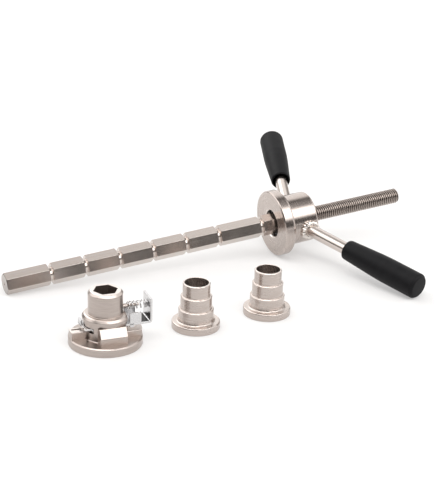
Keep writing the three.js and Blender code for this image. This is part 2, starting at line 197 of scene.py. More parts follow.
def hexagon(radius, turn=0.0, corner=0.0):
    """Outline of a hexagon with one corner at angle turn from +X."""
    angles = [turn + i * math.pi / 3 for i in range(6)]
    return rounded([(*polar(radius, angle), corner) for angle in angles])


def bridge(bm, rings):
    """Skins each ring of vertices to the next one."""
    for low, high in zip(rings, rings[1:]):
        for i in range(len(low)):
            j = (i + 1) % len(low)
            bm.faces.new((low[i], low[j], high[j], high[i]))


def tube(path, radius, sides=12):
    """Closed round tube along path, a list of (point, outward) pairs."""
    bm = bmesh.new()
    rings = []
    for index, (point, outward) in enumerate(path):
        ahead = path[min(index + 1, len(path) - 1)][0] - path[max(index - 1, 0)][0]
        across = ahead.normalized().cross(outward).normalized()
        ring = []
        for i in range(sides):
            angle = 2 * math.pi * i / sides
            offset = outward * math.cos(angle) + across * math.sin(angle)
            ring.append(bm.verts.new(point + radius * offset))
        rings.append(ring)
    bridge(bm, rings)
    bm.faces.new(rings[0])
    bm.faces.new(rings[-1])
    return bm


def temporary(bm):
    """Object for a boolean, in millimetres; boolean() removes it again."""
    bmesh.ops.recalc_face_normals(bm, faces=bm.faces)
    mesh = bpy.data.meshes.new("temporary")
    bm.to_mesh(mesh)
    bm.free()
    made = bpy.data.objects.new("temporary", mesh)
    bpy.context.scene.collection.objects.link(made)
    return made


def boolean(base, operation, *tools):
    """base joined with ("UNION"), cut by ("DIFFERENCE") or kept inside ("INTERSECT") the tools."""
    target = temporary(base)
    others = [temporary(tool) for tool in tools]
    for other in others:
        modifier = target.modifiers.new("boolean", "BOOLEAN")
        modifier.operation = operation
        modifier.solver = "EXACT"
        modifier.object = other
    bpy.context.view_layer.update()
    shape = target.evaluated_get(bpy.context.evaluated_depsgraph_get())
    made = bmesh.new()
    made.from_mesh(shape.data)
    for each in [target, *others]:
        bpy.data.objects.remove(each)
    bmesh.ops.remove_doubles(made, verts=made.verts, dist=MERGE)
    bmesh.ops.dissolve_degenerate(made, edges=made.edges, dist=MERGE)
    return made


def moved(bm, matrix):
    """The same bmesh, moved."""
    bmesh.ops.transform(bm, matrix=matrix, verts=bm.verts)
    return bm


def piece(name, bm, matrix, body, material, stands_for):
    """Shows a bmesh made in millimetres, placed by matrix, riding on a CAD body."""
    bmesh.ops.recalc_face_normals(bm, faces=bm.faces)
    bmesh.ops.scale(bm, vec=(MM, MM, MM), verts=bm.verts)
    for face in bm.faces:
        face.smooth = True
    for edge in bm.edges:
        edge.smooth = edge.calc_face_angle(0) < CREASE
    mesh = bpy.data.meshes.new(name)
    bm.to_mesh(mesh)
    bm.free()
    mesh.materials.append(material)
    made = bpy.data.objects.new(name, mesh)
    bpy.context.scene.collection.objects.link(made)
    made.matrix_world = matrix
    normals = made.modifiers.new("weighted_normals", "WEIGHTED_NORMAL")
    normals.keep_sharp = True
    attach(made, body)
    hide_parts(*stands_for)
    return made


# ----------------------------------------------------------------- materials

NEAR_AXIS = 1e-5  # m; keeps the cosine and sine finite
NOISE_SPAN = (0.3, 0.7)  # where most of a noise's values lie
STREAK_DETAIL = 3.0
MARK_SCALE = 1500  # tool marks
MARK_DEPTH = 0.0000025  # m
MARK_ROUGHNESS = 0.01  # either way
MARK_SHARE = 0.8  # of the tone
CLOUD_SHARE = 0.2
CLOUD_SCALE = 70
CLOUD_ROUGHNESS = 0.02
CLOUD_SPAN = (0.4, 0.7)  # of the cloud, where it adds to the roughness
RING_SHARE = 0.0008  # how fast turned marks change around the piece
DRAWN_SHARES = (1, 1, 0.012)  # how fast drawn marks change along X, Y and Z
RING_GRAIN = 0.25  # turn of the anisotropy, for marks that go around


class Graph:
    """A short way to write a node tree."""

    def __init__(self, tree):
        self.tree = tree
        tree.nodes.clear()

    def node(self, kind, inputs=None, output=0, **settings):
        made = self.tree.nodes.new(kind)
        for key, value in settings.items():
            setattr(made, key, value)
        for key, value in (inputs or {}).items():
            if isinstance(value, bpy.types.NodeSocket):
                self.tree.links.new(value, made.inputs[key])
            else:
                made.inputs[key].default_value = value
        return made.outputs[output] if made.outputs else None

    def math(self, operation, a, b=0.0, c=0.0):
        return self.node("ShaderNodeMath", {0: a, 1: b, 2: c}, operation=operation)

    def split(self, vector):
        """X, Y and Z of a vector."""
        return self.node("ShaderNodeSeparateXYZ", {0: vector}).node.outputs

    def between(self, value, low, high, to_low=0.0, to_high=1.0):
        """value eased from one range to another."""
        inputs = {"Value": value, 1: low, 2: high, 3: to_low, 4: to_high}
        return self.node("ShaderNodeMapRange", inputs, interpolation_type="SMOOTHSTEP")

    def mix(self, share, a, b):
        """Colour from a to b."""
        inputs = {"Factor": share, 6: a, 7: b}
        return self.node("ShaderNodeMix", inputs, output=2, data_type="RGBA")

    def noise(self, vector, scale, detail=3.0, roughness=0.5):
        inputs = {"Vector": vector, "Scale": scale, "Detail": detail, "Roughness": roughness}
        return self.node("ShaderNodeTexNoise", inputs)

    def bump(self, height, strength, distance):
        inputs = {"Height": height, "Strength": strength, "Distance": distance}
        return self.node("ShaderNodeBump", inputs)


def new_material(name):
    """Empty material and the graph of its nodes."""
    material = bpy.data.materials.new(name)
    material.use_nodes = True
    return material, Graph(material.node_tree)


def surface(graph, **inputs):
    """Principled shader wired to the output."""
    named = {key.replace("_", " ").title().replace("Ior", "IOR"): inputs[key] for key in inputs}
    shader = graph.node("ShaderNodeBsdfPrincipled", named)
    graph.node("ShaderNodeOutputMaterial", {"Surface": shader})


def round_coordinates(graph):
    """Object coordinates, and the radius, height, cosine and sine about +Z."""
    place = graph.node("ShaderNodeTexCoord", output="Object")
    x, y, z = graph.split(place)
    squares = graph.math("ADD", graph.math("MULTIPLY", x, x), graph.math("MULTIPLY", y, y))
    radius = graph.math("SQRT", squares)
    safe = graph.math("MAXIMUM", radius, NEAR_AXIS)
    return place, radius, z, graph.math("DIVIDE", x, safe), graph.math("DIVIDE", y, safe)


def streaks(graph, radius, z, cosine, sine, turn_share, scale):
    """Noise that is fine along the radius and height; a small turn_share draws it out around."""
    vector = {0: radius, 1: z, 2: graph.math("MULTIPLY", cosine, turn_share)}
    inputs = {
        "Vector": graph.node("ShaderNodeCombineXYZ", vector),
        "W": graph.math("MULTIPLY", sine, turn_share),
        "Scale": scale,
        "Detail": STREAK_DETAIL,
    }
    return graph.node("ShaderNodeTexNoise", inputs, noise_dimensions="4D")


Place = namedtuple("Place", "radius x y z")


def metal(name, tones, roughness, brushing, drawn=False, shade=None):
    """Nickel, zinc or steel with fine tool marks: turned rings, or lines drawn along +Z."""
    light, dark = tones
    material, graph = new_material(name)
    place, radius, z, cosine, sine = round_coordinates(graph)
    if drawn:
        factors = {0: place, 1: DRAWN_SHARES}
        along = graph.node("ShaderNodeVectorMath", factors, operation="MULTIPLY")
        marks = graph.noise(along, MARK_SCALE)
    else:
        marks = streaks(graph, radius, z, cosine, sine, RING_SHARE, MARK_SCALE)
    cloud = graph.noise(place, CLOUD_SCALE, detail=4, roughness=0.6)
    tone = graph.math(
        "ADD",
        graph.math("MULTIPLY", marks, MARK_SHARE),
        graph.math("MULTIPLY", cloud, CLOUD_SHARE),
    )
    color = graph.mix(graph.between(tone, *NOISE_SPAN), dark, light)
    if shade is not None:
        x = graph.math("MULTIPLY", cosine, radius)
        y = graph.math("MULTIPLY", sine, radius)
        color = shade(graph, color, Place(radius, x, y, z))
    rough = graph.between(marks, *NOISE_SPAN, -MARK_ROUGHNESS, MARK_ROUGHNESS)
    rough = graph.math("ADD", rough, roughness)
    dull = graph.between(cloud, *CLOUD_SPAN, 0.0, CLOUD_ROUGHNESS)
    surface(
        graph,
        base_color=color,
        metallic=1.0,
        roughness=graph.math("ADD", rough, dull),
        anisotropic=brushing,
        anisotropic_rotation=0.0 if drawn else RING_GRAIN,
        tangent=graph.node("ShaderNodeTangent", direction_type="RADIAL", axis="Z"),
        normal=graph.bump(marks, 1.0, MARK_DEPTH),
    )
    return material


RUBBER_DARK = (0.004, 0.004, 0.005, 1)
RUBBER_LIGHT = (0.008, 0.0078, 0.009, 1)
RUBBER_SPAN = (0.35, 0.7)  # of the cloud, from dark to light
RUBBER_ROUGHNESS = (0.48, 0.58)
RUBBER_CLOUD_SCALE = 90
RUBBER_GRAIN_SCALE = 2400
RUBBER_RELIEF = 0.00004  # m
RUB_SCALE = 700  # marks of hands, around the grip
RUB_TURN_SHARE = 0.004
RUB_HEIGHT = 0.6  # against the grain's


def rubber(name):
    """Dipped black rubber: matte, faintly mottled, with a soft sheen."""
    material, graph = new_material(name)
    place, radius, z, cosine, sine = round_coordinates(graph)
    cloud = graph.noise(place, RUBBER_CLOUD_SCALE, detail=5, roughness=0.6)
    grain = graph.noise(place, RUBBER_GRAIN_SCALE)
    rub = streaks(graph, radius, z, cosine, sine, RUB_TURN_SHARE, RUB_SCALE)
    height = graph.math("ADD", grain, graph.math("MULTIPLY", rub, RUB_HEIGHT))
    surface(
        graph,
        base_color=graph.mix(graph.between(cloud, *RUBBER_SPAN), RUBBER_DARK, RUBBER_LIGHT),
        roughness=graph.between(cloud, *NOISE_SPAN, *RUBBER_ROUGHNESS),
        normal=graph.bump(height, 0.25, RUBBER_RELIEF),
        specular_ior_level=0.15,
    )
    return material


# Shades change a metal's colour by the place on the piece. Each range is eased over from its
# first number to its second, in millimetres unless said.

# colour of the painted highlights on faces that look up and on the bore's edge
PAINTED_HIGHLIGHT = (0.84, 0.775, 0.73, 1)
# colour the thread is darkened to at its root
ROOT_DARK = (0.10, 0.085, 0.075, 1)
# colour of the painted shade on the bar's end face
END_SHADE = (0.40, 0.36, 0.335, 1)
# colour of the painted shade in the latch's bend
BEND_SHADE = (0.02, 0.019, 0.018, 1)

FACING_UP = (0.6, 0.95)  # Z of the normal
ROOT_TO_CREST = (6.6, 7.6)  # radii, from the thread's root to near its crest
GUIDE_SHOULDERS = (5, 12)  # heights, as all below but the bore's edge
GUIDE_SHOULDER_SHARES = (0.25, 0.4)
GUIDE_RIM = (43, 44.5)
TUBE_TO_RIM = (32, 48)
TUBE_SHARES = (0.4, 1.0)
ABOVE_LATCH = (26, 28)
LUG_TOPS = ((11, 12.5), (17, 16))
END_SHADE_FADE = (0.2, 1)
BORE_EDGE = (15.6, 15.3)  # radii
BEND_SHADE_ON_PLATE = (
    ("x", 31.2, 31.8),
    ("x", 38.9, 38.2),
    ("z", 19.8, 19.95),
    ("z", 20.6, 20.3),
    ("y", -9.9, -9.3),
)
BEND_SHADE_ON_TAB = (
    ("z", 21.0, 21.5),
    ("x", 38.8, 39.2),
    ("x", 40.2, 39.8),
    ("y", -9.9, -9.3),
)
BEND_SHADE_SLOPE = -0.4  # of the patch's upper edge on the tab, against Y
BEND_SHADE_HEIGHT = 24.4  # of that edge at Y 0
BEND_SHADE_FADE = 0.6


def lengths(graph, value, start, end, *shares):
    """value, a length, eased over a range given in millimetres."""
    return graph.between(value, start * MM, end * MM, *shares)


def facing_up(graph):
    """1 on level faces that look up, 0 on walls: where the highlights are painted."""
    normal = graph.node("ShaderNodeNewGeometry", output="Normal")
    return graph.between(graph.split(normal)[2], *FACING_UP)


def darker_in_roots(graph, color, at):
    """Darkens a screw thread towards its root."""
    return graph.mix(lengths(graph, at.radius, *ROOT_TO_CREST), ROOT_DARK, color)


def highlight_steps(graph, color, at):
    """Painted highlight on the up-facing rims and shoulders of a cup guide."""
    high = graph.math(
        "MAXIMUM",
        lengths(graph, at.z, *GUIDE_SHOULDERS, *GUIDE_SHOULDER_SHARES),
        lengths(graph, at.z, *GUIDE_RIM),
    )
    return graph.mix(graph.math("MULTIPLY", facing_up(graph), high), color, PAINTED_HIGHLIGHT)


def highlight_shoulders(graph, color, at):
    """Painted highlight on the up-facing tube end, ring and lug tops of the lower plate; the disc
    keeps its milled colour.
    """
    high = graph.math(
        "MULTIPLY",
        lengths(graph, at.z, *TUBE_TO_RIM, *TUBE_SHARES),
        lengths(graph, at.z, *ABOVE_LATCH),
    )
    lugs = graph.math("MULTIPLY", *(lengths(graph, at.z, *heights) for heights in LUG_TOPS))
    share = graph.math("MULTIPLY", facing_up(graph), graph.math("MAXIMUM", high, lugs))
    return graph.mix(share, color, PAINTED_HIGHLIGHT)


def highlight_bore(graph, color, at):
    """Painted highlight on the thrust plate's bore and its chamfer."""
    return graph.mix(lengths(graph, at.radius, *BORE_EDGE), color, PAINTED_HIGHLIGHT)


def painted_end_shade(graph, color, at):
    """Painted shade: the bar's end face is coloured darker than its drawn flats."""
    return graph.mix(lengths(graph, at.z, *END_SHADE_FADE), END_SHADE, color)


def painted_bend_shade(graph, color, at):
    """Painted shade: a dark patch in the bend between the latch's plate and its thumb tab."""

    def patch(share, ranges):
        for axis, start, end in ranges:
            share = graph.math("MULTIPLY", share, lengths(graph, getattr(at, axis), start, end))
        return share

    edge = graph.math("MULTIPLY_ADD", at.y, BEND_SHADE_SLOPE, BEND_SHADE_HEIGHT * MM)
    below_edge = lengths(graph, graph.math("SUBTRACT", edge, at.z), 0, BEND_SHADE_FADE)
    share = graph.math("MAXIMUM", patch(1.0, BEND_SHADE_ON_PLATE), patch(below_edge, BEND_SHADE_ON_TAB))
    return graph.mix(share, color, BEND_SHADE)


# light and dark colours of each metal
NICKEL = ((0.565, 0.505, 0.47, 1), (0.50, 0.435, 0.40, 1))
DRAWN = ((0.68, 0.617, 0.577, 1), (0.62, 0.553, 0.512, 1))
MILLED = ((0.50, 0.445, 0.41, 1), (0.43, 0.37, 0.34, 1))
THREAD = ((0.56, 0.50, 0.46, 1), (0.46, 0.40, 0.37, 1))
WELD = ((0.88, 0.83, 0.79, 1), (0.70, 0.64, 0.59, 1))
SHEET = ((0.70, 0.695, 0.70, 1), (0.60, 0.595, 0.60, 1))
WIRE = ((0.74, 0.73, 0.73, 1), (0.62, 0.61, 0.61, 1))
HARDENED = ((0.70, 0.71, 0.73, 1), (0.64, 0.65, 0.67, 1))

# name, colours, roughness, brushing
turned_nickel = metal("turned_nickel", NICKEL, 0.26, 0.8)
plate_nickel = metal("plate_nickel", NICKEL, 0.26, 0.8, shade=highlight_bore)
guide_nickel = metal("guide_nickel", NICKEL, 0.26, 0.8, shade=highlight_steps)
drawn_nickel = metal("drawn_nickel", DRAWN, 0.2, 0.0, drawn=True, shade=painted_end_shade)
milled_nickel = metal("milled_nickel", MILLED, 0.29, 0.3, shade=highlight_shoulders)
thread_nickel = metal("thread_nickel", THREAD, 0.34, 0.3, shade=darker_in_roots)
weld_nickel = metal("weld_nickel", WELD, 0.18, 0.0)
zinc_sheet = metal("zinc_sheet", SHEET, 0.26, 0.2, shade=painted_bend_shade)
zinc_wire = metal("zinc_wire", WIRE, 0.25, 0.0)
bearing_steel = metal("bearing_steel", HARDENED, 0.1, 0.0)
grip_rubber = rubber("grip_rubber")

# --------------------------------------------------------------------- press

HEX_FLATS = 19.05
HEX_RADIUS = HEX_FLATS / 2 / math.cos(math.pi / 6)
HEX_TURN = math.radians(90 - 44.63)  # of the bar about its axis, as it lies
HEX_END = 300.0
SHAFT_LENGTH = 440.0
GROOVES = [46.3 + 36.2 * i for i in range(6)] + [276.2]  # their middles
GROOVE_WIDTH = 3.6
GROOVE_RADIUS = 7.0
SCREW_RADIUS = 7.8
THREAD_DEPTH = 1.2
THREAD_PITCH = 2.309
THREAD_SIDES = 64
THREAD_CREST = [(0.0, 0.04), (0.05, 0.0), (0.16, 0.0), (0.21, 0.04)]  # shares of pitch and depth
THREAD_ROOT = [(0.52, 0.96), (0.58, 1.0), (0.68, 1.0), (0.74, 0.96)]
RELIEF_END = HEX_END + 2.5


def shaft_bar():
    """Hexagonal bar with turned grooves, chamfered at each cut."""
    rim = HEX_RADIUS + 0.3  # just outside the hexagon's corners
    chamfer = 1.5
    foot, shoulder = 0.5, 0.25  # corner radii in and beside a groove
    outline = [(0, 0), (rim - chamfer, 0, 0.3), (rim, chamfer)]
    for middle in GROOVES:
        low = middle - GROOVE_WIDTH / 2
        high = middle + GROOVE_WIDTH / 2
        outline += [
            (rim, low - chamfer / 2),
            (rim - chamfer, low, shoulder),
            (GROOVE_RADIUS, low, foot),
            (GROOVE_RADIUS, high, foot),
            (rim - chamfer, high, shoulder),
            (rim, high + chamfer / 2),
        ]
    outline += [(rim, HEX_END - chamfer), (rim - 2 * chamfer, HEX_END, 0.3), (0, HEX_END)]
    bar = prism(hexagon(HEX_RADIUS, HEX_TURN, 0.5), -1, HEX_END + 1)
    bar = boolean(bar, "INTERSECT", lathe(rounded(outline, closed=False), 96))
    centre_hole = lathe([(0, 1.9), (0.9, 1.2), (2.0, -0.1), (2.0, -1), (0, -1)], 32)
    return boolean(bar, "DIFFERENCE", centre_hole)


def shaft_screw():
    """Right-hand thread with a relief at the hexagon and a chamfered end."""
    profile = [(share, depth * THREAD_DEPTH) for share, depth in THREAD_CREST + THREAD_ROOT]
    minor = SCREW_RADIUS - THREAD_DEPTH
    start = HEX_END - 2  # inside the bar
    turns = math.ceil((SHAFT_LENGTH - RELIEF_END) / THREAD_PITCH) + 1
    bm = bmesh.new()
    columns = []
    for i in range(THREAD_SIDES + 1):
        lead = THREAD_PITCH * i / THREAD_SIDES - THREAD_PITCH
        angle = 2 * math.pi * i / THREAD_SIDES
        column = [bm.verts.new((*polar(minor, angle), start))]
        for turn in range(turns + 1):
            for share, depth in profile:
                z = RELIEF_END + lead + THREAD_PITCH * (turn + share)
                z = min(max(z, RELIEF_END), SHAFT_LENGTH)
                limit = minor + min(z - RELIEF_END, SHAFT_LENGTH - z)
                radius = min(SCREW_RADIUS - depth, limit)
                column.append(bm.verts.new((*polar(radius, angle), z)))
        columns.append(column)
    for left, right in zip(columns, columns[1:]):
        for row in range(len(left) - 1):
            bm.faces.new((left[row], right[row], right[row + 1], left[row + 1]))
    bm.faces.new([column[0] for column in columns[:-1]])
    bm.faces.new([column[-1] for column in columns[:-1]])
    bmesh.ops.remove_doubles(bm, verts=bm.verts, dist=MERGE)
    bmesh.ops.dissolve_degenerate(bm, edges=bm.edges, dist=SLIVER)
    return bm


PLATE_FRONT = 290.25
PLATE_BACK = PLATE_FRONT + 11.95
PLATE_RADIUS = 34.1
PLATE_BORE = 14.2
POCKET_RADIUS = 23.0  # of the bearing's pocket in the plate's back
POCKET_FLOOR = PLATE_BACK - 8


def thrust_plate():
    """Round plate with a chamfered bore and a pocket for the bearing behind."""
    corners = [
        (PLATE_BORE + 1.2, PLATE_FRONT, 0.2),
        (PLATE_RADIUS - 1.0, PLATE_FRONT, 0.4),
        (PLATE_RADIUS, PLATE_FRONT + 1.0, 0.6),
        (PLATE_RADIUS, PLATE_BACK - 2.2, 1.2),
        (PLATE_RADIUS - 1.6, PLATE_BACK, 0.8),
        (POCKET_RADIUS, PLATE_BACK, 0.3),
        (POCKET_RADIUS, POCKET_FLOOR, 0.5),
        (PLATE_BORE, POCKET_FLOOR, 0.3),
        (PLATE_BORE, PLATE_FRONT + 1.2, 0.2),
    ]
    return lathe(rounded(corners))


HUB_FRONT = 302.5
HUB_BACK = HUB_FRONT + 30.3
HUB_RADIUS = 25.9
HUB_BORE = SCREW_RADIUS + 0.3
HUB_MOUTH = 12.0  # radius of the bore's wide front, clear of the bar
ROD_RADIUS = 6.35
ROD_FIT = ROD_RADIUS + 0.02  # of the bores that hold a rod
ROD_START = 15.0
ROD_END = 165.5


def nut():
    """The turned nut with its two arm sockets."""
    corners = [
        (HUB_MOUTH, HUB_FRONT, 0.3),
        (HUB_RADIUS - 0.9, HUB_FRONT, 0.4),
        (HUB_RADIUS, HUB_FRONT + 0.9, 0.6),
        (HUB_RADIUS, HUB_BACK, 3.0),
        (HUB_BORE + 1.2, HUB_BACK, 0.2),
        (HUB_BORE, HUB_BACK - 1.2, 0.2),
        (HUB_BORE, HUB_FRONT + 9.5, 0.2),
        (HUB_MOUTH, HUB_FRONT + 6.5, 0.2),
    ]
    sockets = []
    for side in (1, -1):
        local = press_frame.inverted() @ arm_frame(side)
        local.translation = local.translation / MM
        sockets.append(moved(cylinder(ROD_FIT, ROD_START - 0.3, 40, 64), local))
    return boolean(lathe(rounded(corners)), "DIFFERENCE", *sockets)


def arm_rod():
    """Round rod with eased ends."""
    corners = [
        (0, ROD_START),
        (ROD_RADIUS, ROD_START, 0.5),
        (ROD_RADIUS, ROD_END, 0.8),
        (0, ROD_END),
    ]
    return lathe(rounded(corners, closed=False), 72)


BEAD_STEPS = 220  # round the rod
BEAD_SIDES = 16
BEAD_SIZE = 3.0
BEAD_OFFSET = 1.1  # of its middle from the rod's surface
BEAD_RISE = 0.5  # of its middle along the rod, and again with each lump
BEAD_FLATTENING = 0.85  # of its outer side
BEAD_RIPPLES = 17
RIPPLE_SIZE = 0.6
LUMP_SCALE = 1.7
LUMP_SEED = 3.1  # sets the two beads apart


def weld_bead(side):
    """Rippled bead round the rod where it leaves the nut's curved side."""
    axis = (press_frame.inverted() @ arm_frame(side)).to_3x3()
    bm = bmesh.new()
    rings = []
    for step in range(BEAD_STEPS):
        angle = 2 * math.pi * step / BEAD_STEPS
        outward = Vector((*polar(1, angle), 0))
        # distance along the rod at which its surface leaves the nut, closed in on
        reach = HUB_RADIUS
        for _ in range(12):
            point = axis @ (outward * ROD_RADIUS + Vector((0, 0, reach)))
            reach += (HUB_RADIUS - math.hypot(point.x, point.y)) / math.cos(ARM_SWEEP)
        ripple = 0.5 + 0.5 * math.cos(BEAD_RIPPLES * angle)
        lump = noise.noise(outward * LUMP_SCALE + Vector((0, 0, side * LUMP_SEED)))
        size = BEAD_SIZE + RIPPLE_SIZE * ripple + lump
        along = reach + BEAD_RISE + BEAD_RISE * lump
        centre = outward * (ROD_RADIUS + BEAD_OFFSET) + Vector((0, 0, along))
        ring = []
        for i in range(BEAD_SIDES):
            turn = 2 * math.pi * i / BEAD_SIDES
            flat = BEAD_FLATTENING if math.cos(turn) > 0 else 1.0
            out, up = size * flat * math.cos(turn), size * math.sin(turn)
            ring.append(bm.verts.new(centre + outward * out + Vector((0, 0, up))))
        rings.append(ring)
    bridge(bm, rings + rings[:1])
    return bm


GRIP_START = 79.0
GRIP_END = GRIP_START + 93.0


def grip_sleeve():
    """Rubber sleeve with an open, lipped inner end and a rounded outer one."""
    corners = [
        (8.6, GRIP_START + 0.5, 0.5),
        (9.8, GRIP_START, 0.8),
        (10.4, GRIP_START + 2.0, 2.0),
        (11.3, GRIP_START + 17, 60),
        (12.6, GRIP_START + 40, 50),
        (13.0, GRIP_START + 52, 60),
        (13.0, GRIP_END - 3.2, 2.5),
        (10.8, GRIP_END - 0.4, 2.0),
        (0, GRIP_END),
        (0, GRIP_END - 6),
        (ROD_FIT, GRIP_END - 6),
        (ROD_FIT, GRIP_START + 12.5, 0.5),
        (8.4, GRIP_START + 9.5, 1.0),
    ]
    return lathe(rounded(corners), 120)


piece(
    "shaft_bar", shaft_bar(), press_frame,
    "shaft", drawn_nickel, ["press_shaft"],
)
piece(
    "shaft_screw", shaft_screw(), press_frame,
    "shaft", thread_nickel, ["press_shaft"],
)
piece(
    "thrust_disc", thrust_plate(), press_frame,
    "plate", plate_nickel, ["thrust_plate"],
)
piece(
    "screw_nut", nut(), press_frame,
    "handle", turned_nickel, ["handle_hub"],
)
for place, side in (("near", 1), ("far", -1)):
    local = arm_frame(side)
    arm, grip = f"handle_arm_{place}", f"handle_grip_{place}"
    piece(f"rod_{place}", arm_rod(), local, "handle", drawn_nickel, [arm])
    piece(f"weld_{place}", weld_bead(side), local, "handle", weld_nickel, [arm])
    piece(f"sleeve_{place}", grip_sleeve(), local, "handle", grip_rubber, [grip])

# ------------------------------------------------------------ thrust bearing

RACE_INNER = 15.0
RACE_OUTER = 22.5
RACE_THICKNESS = 1.5
RACE_EDGE = 0.25
TRACK_DEPTH = 0.35
TRACK_HALF_WIDTH = 1.5
BALL_CIRCLE = 18.7
BALL_RADIUS = 2.0
BALL_GAP = 0.3  # between a ball and a race's face, before its track
BALLS = 12
CAGE_INNER = 15.8
CAGE_OUTER = 21.7
CAGE_HALF_THICKNESS = 0.7
CAGE_POCKET = 2.25
RACE_FRONT = POCKET_FLOOR + 0.3
BALL_PLANE = RACE_FRONT + RACE_THICKNESS + BALL_GAP + BALL_RADIUS
RACE_REAR = BALL_PLANE + BALL_RADIUS + BALL_GAP


def ring_corners(inner, outer, low, high, edge):
    return [(inner, low, edge), (outer, low, edge), (outer, high, edge), (inner, high, edge)]


def race(low, track):
    """Washer with a shallow ball track on its face at the height track."""
    high = low + RACE_THICKNESS
    depth = TRACK_DEPTH if track == high else -TRACK_DEPTH
    corners = ring_corners(RACE_INNER, RACE_OUTER, low, high, RACE_EDGE)
    spot = 3 if track == high else 1
    groove = [
        (BALL_CIRCLE + TRACK_HALF_WIDTH, track, 0.2),
        (BALL_CIRCLE, track - depth, 1.6),
        (BALL_CIRCLE - TRACK_HALF_WIDTH, track, 0.2),
    ]
    if track == low:
        groove.reverse()
    return lathe(rounded(corners[:spot] + groove + corners[spot:]), 96)


def to_ball(index, height):
    """Moves from the shaft's axis to where a ball sits."""
    angle = 2 * math.pi * index / BALLS
    return Matrix.Translation((*polar(BALL_CIRCLE, angle), height))


def cage():
    """Flat ring with a round pocket for each ball."""
    low, high = BALL_PLANE - CAGE_HALF_THICKNESS, BALL_PLANE + CAGE_HALF_THICKNESS
    ring = lathe(rounded(ring_corners(CAGE_INNER, CAGE_OUTER, low, high, 0.2)), 96)
    pockets = [
        moved(cylinder(CAGE_POCKET, low - 1, high + 1, 32), to_ball(index, 0))
        for index in range(BALLS)
    ]
    return boolean(ring, "DIFFERENCE", *pockets)


def ball(index):
    """Bearing ball in its place."""
    bm = bmesh.new()
    bmesh.ops.create_icosphere(bm, subdivisions=4, radius=BALL_RADIUS)
    return moved(bm, to_ball(index, BALL_PLANE))


piece(
    "race_front", race(RACE_FRONT, RACE_FRONT + RACE_THICKNESS), press_frame,
    "plate", bearing_steel, ["bearing_race_front"],
)
piece(
    "race_rear", race(RACE_REAR, RACE_REAR), press_frame,
    "handle", bearing_steel, ["bearing_race_rear"],
)
piece("ball_cage", cage(), press_frame, "ball_set", zinc_sheet, ["bearing_cage"])
for index in range(BALLS):
    label = f"{index + 1:02d}"
    piece(
        f"ball_{label}", ball(index), press_frame,
        "ball_set", bearing_steel, [f"bearing_ball_{label}"],
    )

# --------------------------------------------------------------- lower plate

DISC_RADIUS = 34.1
DISC_TOP = 8.1
LOWER_HUB_RADIUS = 20.2
RING_RADIUS = 21.5
RING_BOTTOM = 24.6
RING_TOP = 30.0
TUBE_RADIUS = 16.05
TUBE_TOP = 52.0
TUBE_BORE = 11.7  # to the hexagon's corners
LUG_ROOT = DISC_TOP - 1  # inside the disc
LUG_REACH = 33.4
LUG_EDGE = 0.7
RIGHT_LUG = (15, 36, -13.2, 13.2, LUG_ROOT, 13.9)
LEFT_LUG = (-36, -15, -5, 6, LUG_ROOT, 15.3)
LEFT_NOTCH = (-31.5, -22.5, 0.9, 3.5, 13.5, 17)
LATCH_SLOT = (-30, 30, -13.4, 13.4, 15.7, 20.5)
SPRING_FLAT = (17, 30, -16, 16, 15.7, 31)
PIN_HEIGHT = 33.7
PIN_START = 13.0
PIN_SHOULDER = 20.2  # where the pin thins, outside the tube
PIN_END = 31.5


def lower_blank():
    """Disc, hub, ring and tube, before anything is milled."""
    corners = [
        (0, 0),
        (DISC_RADIUS, 0, 0.5),
        (DISC_RADIUS, 7.0, 0.5),
        (DISC_RADIUS - 1.2, DISC_TOP, 0.3),
        (LOWER_HUB_RADIUS, DISC_TOP, 1.2),
        (LOWER_HUB_RADIUS, RING_BOTTOM, 0.2),
        (RING_RADIUS, RING_BOTTOM, 0.3),
        (RING_RADIUS, 27.4, 0.6),
        (RING_RADIUS - 1.6, 29.5, 0.6),
        (RING_RADIUS - 3, RING_TOP, 0.6),
        (TUBE_RADIUS, RING_TOP, 0.5),
        (TUBE_RADIUS, TUBE_TOP - 2.3, 0.8),
        (TUBE_RADIUS - 1.9, TUBE_TOP - 0.2, 0.3),
        (TUBE_RADIUS - 2.6, TUBE_TOP, 0.3),
        (0, TUBE_TOP),
    ]
    return lathe(rounded(corners, closed=False))


def sloping_lug():
    """Lug on the -Y side with a sloping top; its outline is drawn in Y and Z."""
    outline = rounded(
        [
            (-25.4, LUG_ROOT),
            (-14, LUG_ROOT),
            (-14, 22.6),
            (-LOWER_HUB_RADIUS, 22.6, 1.0),
            (-25.4, 14.6, 1.2),
        ]
    )
    upright = Matrix(((0, 0, 1, 0), (1, 0, 0, 0), (0, 1, 0, 0), (0, 0, 0, 1)))
    return moved(prism(outline, -12.2, 13.8, LUG_EDGE), upright)


def straight_lug(extent):
    """Block trimmed to the lugs' common outer radius."""
    return boolean(block(*extent, LUG_EDGE), "INTERSECT", cylinder(LUG_REACH, 0, 40))


def across_pin():
    """Lays +Z along the latch's spring pin, in the lower plate's frame."""
    matrix = Matrix.Rotation(math.pi / 2, 4, "Y")
    matrix.translation = Vector((0, 0, PIN_HEIGHT))
    return matrix


def lower_plate():
    """Turned plate with its lugs, milled for the latch and bored for the bar and the pin."""
    right = straight_lug(RIGHT_LUG)
    left = boolean(straight_lug(LEFT_LUG), "DIFFERENCE", block(*LEFT_NOTCH))
    back = moved(sloping_lug(), Matrix.Rotation(math.pi, 4, "Z"))
    made = boolean(lower_blank(), "UNION", right, left, sloping_lug(), back)
    made = boolean(made, "DIFFERENCE", block(*LATCH_SLOT), block(*SPRING_FLAT))
    bore = prism(hexagon(TUBE_BORE, 0.0, 0.3), -1, TUBE_TOP + 1)
    pin_hole = cylinder(2.45, PIN_START - 0.3, PIN_SHOULDER, 48)
    return boolean(made, "DIFFERENCE", bore, moved(pin_hole, across_pin()))


